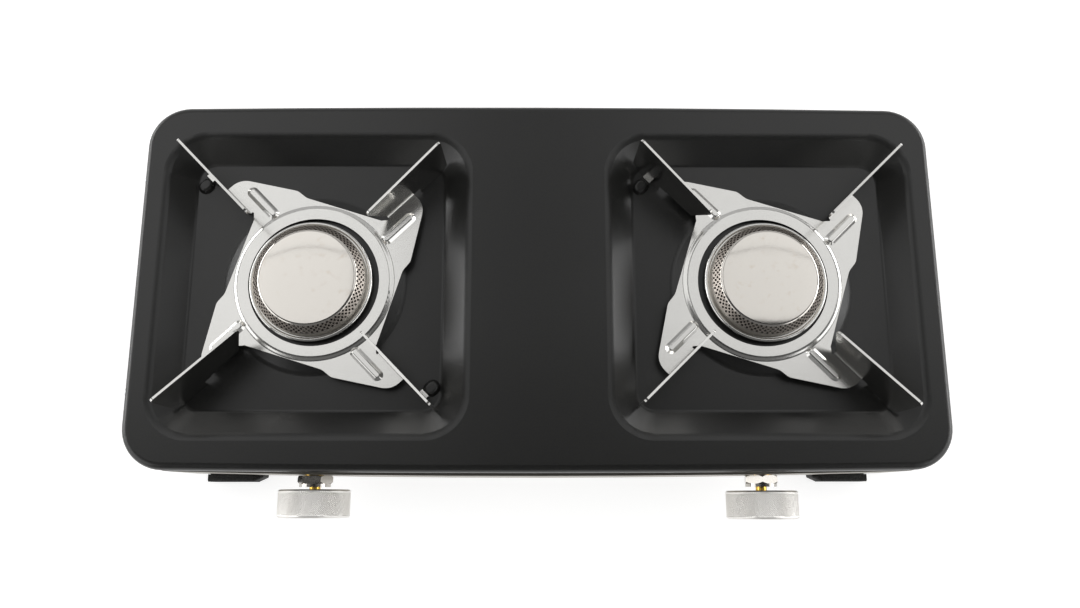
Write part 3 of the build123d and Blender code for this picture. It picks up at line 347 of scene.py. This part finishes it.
def place(bm, matrix):
    """Takes a bmesh from its own millimetres to metres in the frame."""
    bmesh.ops.transform(bm, matrix=matrix @ Matrix.Scale(MM, 4), verts=bm.verts[:])


def stand_for(name, bm, slot, body, crease=38):
    """Makes the bmesh a piece that rides on a body, with edges sharper than the crease in degrees kept sharp."""
    for face in bm.faces:
        face.smooth = True
    for edge in bm.edges:
        if edge.is_manifold and edge.calc_face_angle() > math.radians(crease):
            edge.smooth = False
    mesh = bpy.data.meshes.new(name)
    bm.to_mesh(mesh)
    bm.free()
    mesh.materials.append(finishes[slot])
    piece = bpy.data.objects.new(name, mesh)
    bpy.context.scene.collection.objects.link(piece)
    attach(piece, body)
    return piece


def perforated_cap(side):
    """The burner cap with its rows of real flame holes, each row set half a pitch round from the next."""
    columns = 2 * HOLES_ROUND
    bm = lathe(CAP_PROFILE, columns, CAP_ROUNDS, split=((BAND_HIGH + BAND_LOW) / 2, HOLE_ROWS))
    pitch = (BAND_HIGH - BAND_LOW) / HOLE_ROWS
    cells = []
    for face in bm.faces:
        middle = face.calc_center_median()
        if BAND_LOW < middle.z < BAND_HIGH:
            row = int((BAND_HIGH - middle.z) / pitch)
            column = int(math.atan2(middle.y, middle.x) % FULL_TURN / FULL_TURN * columns)
            if (row + column) % 2 == 0:
                cells.append(face)
    sides = list({edge for cell in cells for edge in cell.edges})
    bmesh.ops.subdivide_edges(bm, edges=sides, cuts=1)
    bmesh.ops.inset_individual(bm, faces=cells, thickness=HOLE_INSET, use_even_offset=True)
    for cell in cells:
        middle = cell.calc_center_median()
        for vert in cell.verts:
            vert.co = middle + (vert.co - middle).normalized() * HOLE_RADIUS
    bmesh.ops.delete(bm, geom=cells, context="FACES_ONLY")
    bmesh.ops.solidify(bm, geom=bm.faces[:], thickness=CAP_SHEET)
    node = f"{side}_burner_cap"
    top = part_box(node)[1][2]
    middle = middle_of(node)
    place(bm, Matrix.Translation((middle.x, middle.y, top - CAP_TOP * MM)))
    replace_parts(stand_for(f"{side}_perforated_cap", bm, "warm_stainless", "case"), node)


def from_grub_screw(point):
    """The distance of a point on the knob from the axis of its grub screw."""
    return math.hypot(point.x, point.z - GRUB_SCREW_AT)


def knurl(bm):
    """Sinks every other corner of the rim's grid, which leaves diamonds standing."""
    pitch = (KNURL_HIGH - KNURL_LOW) / KNURL_ROWS
    sunk = []
    for vert in bm.verts:
        radius = math.hypot(vert.co.x, vert.co.y)
        row = round((vert.co.z - KNURL_LOW) / pitch)
        column = round(math.atan2(vert.co.y, vert.co.x) % FULL_TURN / FULL_TURN * KNURL_COLUMNS)
        if abs(radius - KNOB_RADIUS) < 0.01 and 0 < row < KNURL_ROWS and (row + column) % 2:
            sunk.append(vert)
    for vert in sunk:
        vert.co.xy *= 1 - KNURL_DEPTH / KNOB_RADIUS
    bmesh.ops.connect_verts(bm, verts=sunk)


def sink_grub_screw_hole(bm):
    """Cuts the grub screw's round hole through the rim below and closes it at the screw's end."""
    cut = []
    for face in bm.faces:
        middle = face.calc_center_median()
        on_rim = middle.y < 0 and math.hypot(middle.x, middle.y) > KNOB_RADIUS - 1
        if on_rim and from_grub_screw(middle) < GRUB_SCREW_CUT:
            cut.append(face)
    bmesh.ops.delete(bm, geom=cut, context="FACES")
    rim = [edge for edge in bm.edges if edge.is_boundary]
    for vert in {v for edge in rim for v in edge.verts}:
        scale = GRUB_SCREW_HOLE / from_grub_screw(vert.co)
        vert.co.x *= scale
        vert.co.z = GRUB_SCREW_AT + (vert.co.z - GRUB_SCREW_AT) * scale
    wall = bmesh.ops.extrude_edge_only(bm, edges=rim)["geom"]
    for part in wall:
        if isinstance(part, bmesh.types.BMVert):
            part.co.y = -GRUB_SCREW_END
    bmesh.ops.contextual_create(bm, geom=[part for part in wall if isinstance(part, bmesh.types.BMEdge)])
    bmesh.ops.recalc_face_normals(bm, faces=bm.faces[:])


def knurled_knob(side):
    """The turned knob with diamond knurling round its rim and the hole of its grub screw below."""
    bm = lathe(KNOB_PROFILE, KNURL_COLUMNS, KNOB_ROUNDS, split=((KNURL_LOW + KNURL_HIGH) / 2, KNURL_ROWS))
    knurl(bm)
    sink_grub_screw_hole(bm)
    node = f"{side}_knob"
    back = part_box(node)[1][1]
    middle = middle_of(node)
    place(bm, Matrix.Translation((middle.x, back, middle.z)) @ Matrix.Rotation(QUARTER_TURN, 4, "X"))
    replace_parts(stand_for(f"{side}_knurled_knob", bm, "turned_aluminium", f"{side}_control", KNOB_CREASE), node)


def cross_head_screw(head, crown, shank, rounding):
    """A screw with its head up and a cross recess in it, as a mesh in millimetres."""
    profile = [(0, head + crown), (SCREW_HEAD_RADIUS, head), (SCREW_HEAD_RADIUS, 0), (SCREW_RADIUS, 0),
               (SCREW_RADIUS, -shank), (0, -shank)]
    bm = lathe(profile, 32, [(1, rounding, 4), (4, 0.4, 2)])
    for normal in (Vector((1, 0, 0)), Vector((0, 1, 0))):
        for reach in (-CROSS_REACH, -CROSS_HALF_WIDTH, CROSS_HALF_WIDTH, CROSS_REACH):
            top = [f for f in bm.faces if f.normal.z > 0.5 and f.calc_center_median().z > head / 2]
            touched = {part for f in top for part in (f, *f.edges, *f.verts)}
            bmesh.ops.bisect_plane(bm, geom=list(touched), dist=0.0001, plane_co=normal * reach, plane_no=normal)
    arms = []
    for face in bm.faces:
        middle = face.calc_center_median()
        narrow, wide = sorted((abs(middle.x), abs(middle.y)))
        on_top = face.normal.z > 0.5 and middle.z > head / 2
        if on_top and narrow < CROSS_HALF_WIDTH and wide < CROSS_REACH:
            arms.append(face)
    sunk = bmesh.ops.extrude_face_region(bm, geom=arms)["geom"]
    floor = [part for part in sunk if isinstance(part, bmesh.types.BMVert)]
    bmesh.ops.translate(bm, verts=floor, vec=(0, 0, -CROSS_DEPTH))
    bmesh.ops.scale(bm, verts=floor, vec=(CROSS_TAPER, CROSS_TAPER, 1))
    bmesh.ops.delete(bm, geom=[face for face in arms if face.is_valid], context="FACES_ONLY")
    mesh = bpy.data.meshes.new("screw_pattern")
    bm.to_mesh(mesh)
    bm.free()
    return mesh


def screw_set(node, screw, spots):
    """A set of the same screw, one at each place, in the place of the set's CAD node."""
    bm = bmesh.new()
    for spot in spots:
        first = len(bm.verts)
        bm.from_mesh(screw)
        bm.verts.ensure_lookup_table()
        bmesh.ops.transform(bm, matrix=spot @ Matrix.Scale(MM, 4), verts=bm.verts[first:])
    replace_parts(stand_for(f"cross_head_{node}", bm, "plated_screw", "case"), node)


def case_screws():
    """The pan-head screws in the ends of the case."""
    low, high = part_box("case_screws")
    reach = SCREW_HEAD_RADIUS * MM
    seat = high[0] - SCREW_HEAD * MM
    spots = []
    for out in (1, -1):
        for y, turn in zip((low[1] + reach, high[1] - reach), CASE_SCREW_TURNS):
            spot = Matrix.Translation((out * seat, y, (low[2] + high[2]) / 2))
            spots.append(spot @ Matrix.Rotation(out * QUARTER_TURN, 4, "Y") @ Matrix.Rotation(turn * out, 4, "Z"))
    screw = cross_head_screw(SCREW_HEAD - CASE_SCREW_CROWN, CASE_SCREW_CROWN, CASE_SCREW_SHANK, CASE_SCREW_ROUND)
    screw_set("case_screws", screw, spots)


def foot_screws():
    """The flat screws sunk in the feet, heads down."""
    low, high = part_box("foot_screws")
    reach = SCREW_HEAD_RADIUS * MM
    spots = []
    for x, turn in zip((low[0] + reach, high[0] - reach), FOOT_SCREW_TURNS):
        for y in (low[1] + reach, high[1] - reach):
            spot = Matrix.Translation((x, y, low[2] + SCREW_HEAD * MM))
            spots.append(spot @ Matrix.Rotation(math.pi, 4, "X") @ Matrix.Rotation(turn, 4, "Z"))
    screw_set("foot_screws", cross_head_screw(SCREW_HEAD, 0.0, FOOT_SCREW_SHANK, FOOT_SCREW_ROUND), spots)


def threaded_inlet():
    """The brass gas inlet with its thread cut for the hose union."""
    bm = lathe(INLET_BODY, INLET_STEPS, closed=True)
    shoulder = lathe(INLET_HEX, 6, closed=True)
    mesh = bpy.data.meshes.new("inlet_shoulder")
    shoulder.to_mesh(mesh)
    shoulder.free()
    bm.from_mesh(mesh)
    corners = [bm.verts.new((radius, 0, THREAD_START + along)) for radius, along in THREAD_SECTION]
    ring = [bm.edges.new(pair) for pair in zip(corners, corners[1:] + corners[:1])]
    spun = bmesh.ops.spin(bm, geom=corners + ring, cent=(0, 0, 0), axis=(0, 0, 1), angle=FULL_TURN * THREAD_TURNS,
                          dvec=(0, 0, THREAD_PITCH / THREAD_STEPS), steps=THREAD_STEPS * THREAD_TURNS)
    bmesh.ops.contextual_create(bm, geom=ring)
    bmesh.ops.contextual_create(bm, geom=[e for e in spun["geom_last"] if isinstance(e, bmesh.types.BMEdge)])
    bmesh.ops.recalc_face_normals(bm, faces=bm.faces[:])
    inner_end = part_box("inlet_fitting")[0][1]
    middle = middle_of("inlet_fitting")
    place(bm, Matrix.Translation((middle.x, inner_end, middle.z)) @ Matrix.Rotation(-QUARTER_TURN, 4, "X"))
    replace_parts(stand_for("threaded_inlet", bm, "brass", "case", INLET_CREASE), "inlet_fitting")


for side in SIDES:
    perforated_cap(side)
    knurled_knob(side)
case_screws()
foot_screws()
threaded_inlet()

# The studio in metres. Radiances are against a white card, which is 1.
FLOOR_HALF = 4.0
FLOOR_GLOW = (0.78, 1.0)
FLOOR_GLOW_SPAN = (0.8, 2.0)
PANEL_HEIGHT = 1.5
# Each overhead pair's name, left and right ends, near edge and radiance
OVERHEAD_PAIRS = (("left", -1.5, -0.16, 0.0, 1.2), ("right", 0.14, 1.45, 0.06, 1.1))
OVERHEAD_GAP = (0.525, 0.535)
OVERHEAD_FAR = 1.30
LOW_PANEL_AT, LOW_PANEL_AIM = (1.6, 0.5, 0.44), (0, 0, 0.06)
LOW_PANEL_SIZE, LOW_PANEL_RADIANCE = (1.5, 0.50), 5.2
FRONT_PANEL_AT, FRONT_PANEL_AIM = (1.504, -0.6, 0.80), (0, -0.1, 0.06)
FRONT_PANEL_SIZE, FRONT_PANEL_RADIANCE = (1.7, 0.9), 1.8
# The camera fitted to the photograph, with its turns in degrees
CAMERA_AT = (-0.00329, -0.10995, 0.5425)
CAMERA_TURN, CAMERA_TILT, CAMERA_ROLL = -2.195, 12.213, 2.200
SENSOR_WIDTH, LENS = 36.0, 30.0


def white_floor():
    """The pale floor: the camera and mirrors see it as near white, and it keeps the stove's soft shadow.

    Far from the stove, where the lamps don't reach, the floor glows a little more, so that it meets the backdrop.
    """
    bm = bmesh.new()
    bmesh.ops.create_grid(bm, x_segments=1, y_segments=1, size=FLOOR_HALF)
    mesh = bpy.data.meshes.new("studio_floor")
    bm.to_mesh(mesh)
    bm.free()
    floor = bpy.data.objects.new("studio_floor", mesh)
    bpy.context.scene.collection.objects.link(floor)
    material, tree, coords = new_material("white_paper")
    reach = add(tree, "ShaderNodeVectorMath", {0: (coords, "Object")}, operation="LENGTH")
    fill = add(tree, "ShaderNodeMapRange", {
        "Value": (reach, "Value"), "From Min": FLOOR_GLOW_SPAN[0], "From Max": FLOOR_GLOW_SPAN[1],
        "To Min": FLOOR_GLOW[0], "To Max": FLOOR_GLOW[1]})
    ray = add(tree, "ShaderNodeLightPath")
    mirrored = add(tree, "ShaderNodeMath", {
        0: (ray, "Is Glossy Ray"), 1: (ray, "Is Transmission Ray")}, operation="MAXIMUM")
    seen = add(tree, "ShaderNodeMath", {0: (ray, "Is Camera Ray"), 1: (mirrored, "Value")}, operation="MAXIMUM")
    paper = add(tree, "ShaderNodeBsdfDiffuse", {"Color": linear("#F0F0EE")})
    shaded = add(tree, "ShaderNodeBsdfDiffuse", {"Color": linear("#B8B8B7")})
    glow = add(tree, "ShaderNodeEmission", {"Color": linear("#FFFFFF"), "Strength": (fill, "Result")})
    lit = add(tree, "ShaderNodeAddShader", {0: (shaded, "BSDF"), 1: (glow, "Emission")})
    mixed = add(tree, "ShaderNodeMixShader", {0: (seen, "Value"), 1: (paper, "BSDF"), 2: (lit, "Shader")})
    add(tree, "ShaderNodeOutputMaterial", {"Surface": (mixed, "Shader")})
    mesh.materials.append(material)


def studio_world():
    """White where the camera looks. The stove mirrors a white horizon, a dim room that is darkest overhead, a
    grey front and a pale back."""
    world = bpy.data.worlds.new("studio")
    world.use_nodes = True
    tree = world.node_tree
    tree.nodes.clear()
    coords = add(tree, "ShaderNodeTexCoord")
    direction = add(tree, "ShaderNodeSeparateXYZ", {"Vector": (coords, "Generated")})
    ramp = add(tree, "ShaderNodeValToRGB", {"Fac": (direction, "Z")})
    stops = ramp.color_ramp.elements
    stops[0].position, stops[0].color = 0.12, linear("#FFFFFF")
    stops[1].position, stops[1].color = 0.97, linear("#303030")
    for position in (0.30, 0.85):
        stops.new(position).color = linear("#707070")
    front = add(tree, "ShaderNodeMapRange", {"Value": (direction, "Y"), "From Min": -0.45, "From Max": -0.80})
    back = add(tree, "ShaderNodeMapRange", {"Value": (direction, "Y"), "From Min": 0.62, "From Max": 0.74})
    dimmed = add(tree, "ShaderNodeMix", {
        "Factor": (front, "Result"), "A": (ramp, "Color"), "B": linear("#808080")}, data_type="RGBA")
    room = add(tree, "ShaderNodeMix", {
        "Factor": (back, "Result"), "A": (dimmed, "Result"), "B": linear("#D6D6D6")}, data_type="RGBA")
    ray = add(tree, "ShaderNodeLightPath")
    surroundings = add(tree, "ShaderNodeBackground", {"Color": (room, "Result"), "Strength": 1.0})
    backdrop = add(tree, "ShaderNodeBackground", {"Color": linear("#FFFFFF"), "Strength": 1.0})
    mixed = add(tree, "ShaderNodeMixShader", {
        0: (ray, "Is Camera Ray"), 1: (surroundings, "Background"), 2: (backdrop, "Background")})
    add(tree, "ShaderNodeOutputWorld", {"Surface": (mixed, "Shader")})
    bpy.context.scene.world = world


def softbox(name, centre, aim, size, radiance):
    """A rectangular lamp that looks as bright as a white card lit to that level."""
    lamp = bpy.data.lights.new(name, "AREA")
    lamp.shape = "RECTANGLE"
    lamp.size, lamp.size_y = size
    lamp.energy = radiance * math.pi * size[0] * size[1]
    box = bpy.data.objects.new(name, lamp)
    box.location = centre
    box.rotation_euler = (Vector(aim) - Vector(centre)).to_track_quat("-Z", "Y").to_euler()
    bpy.context.scene.collection.objects.link(box)


def studio_lamps():
    """Two pairs of overhead panels with gaps between them, and beyond each end a bright low panel and a dimmer one
    towards the front."""
    for name, x0, x1, edge, radiance in OVERHEAD_PAIRS:
        for row, y0, y1 in (("near", edge, OVERHEAD_GAP[0]), ("far", OVERHEAD_GAP[1], OVERHEAD_FAR)):
            x, y = (x0 + x1) / 2, (y0 + y1) / 2
            softbox(f"{name}_{row}_panel", (x, y, PANEL_HEIGHT), (x, y, 0), (x1 - x0, y1 - y0), radiance)
    for name, way in zip(SIDES, (-1, 1)):
        x, y, z = LOW_PANEL_AT
        softbox(f"{name}_low_panel", (way * x, y, z), LOW_PANEL_AIM, LOW_PANEL_SIZE, LOW_PANEL_RADIANCE)
        x, y, z = FRONT_PANEL_AT
        softbox(f"{name}_front_panel", (way * x, y, z), FRONT_PANEL_AIM, FRONT_PANEL_SIZE, FRONT_PANEL_RADIANCE)


def photo_camera():
    """The camera of the photograph: above the stove, a little in front of it."""
    data = bpy.data.cameras.new("photo_camera")
    data.sensor_width, data.lens = SENSOR_WIDTH, LENS
    camera = bpy.data.objects.new("photo_camera", data)
    turn = Matrix.Rotation(math.radians(CAMERA_TURN), 4, "Z")
    tilt = Matrix.Rotation(math.radians(CAMERA_TILT), 4, "X")
    roll = Matrix.Rotation(math.radians(CAMERA_ROLL), 4, "Z")
    camera.matrix_world = Matrix.Translation(CAMERA_AT) @ turn @ tilt @ roll
    bpy.context.scene.collection.objects.link(camera)
    bpy.context.scene.camera = camera


white_floor()
studio_world()
studio_lamps()
photo_camera()
bpy.context.scene.view_settings.view_transform = "Standard"
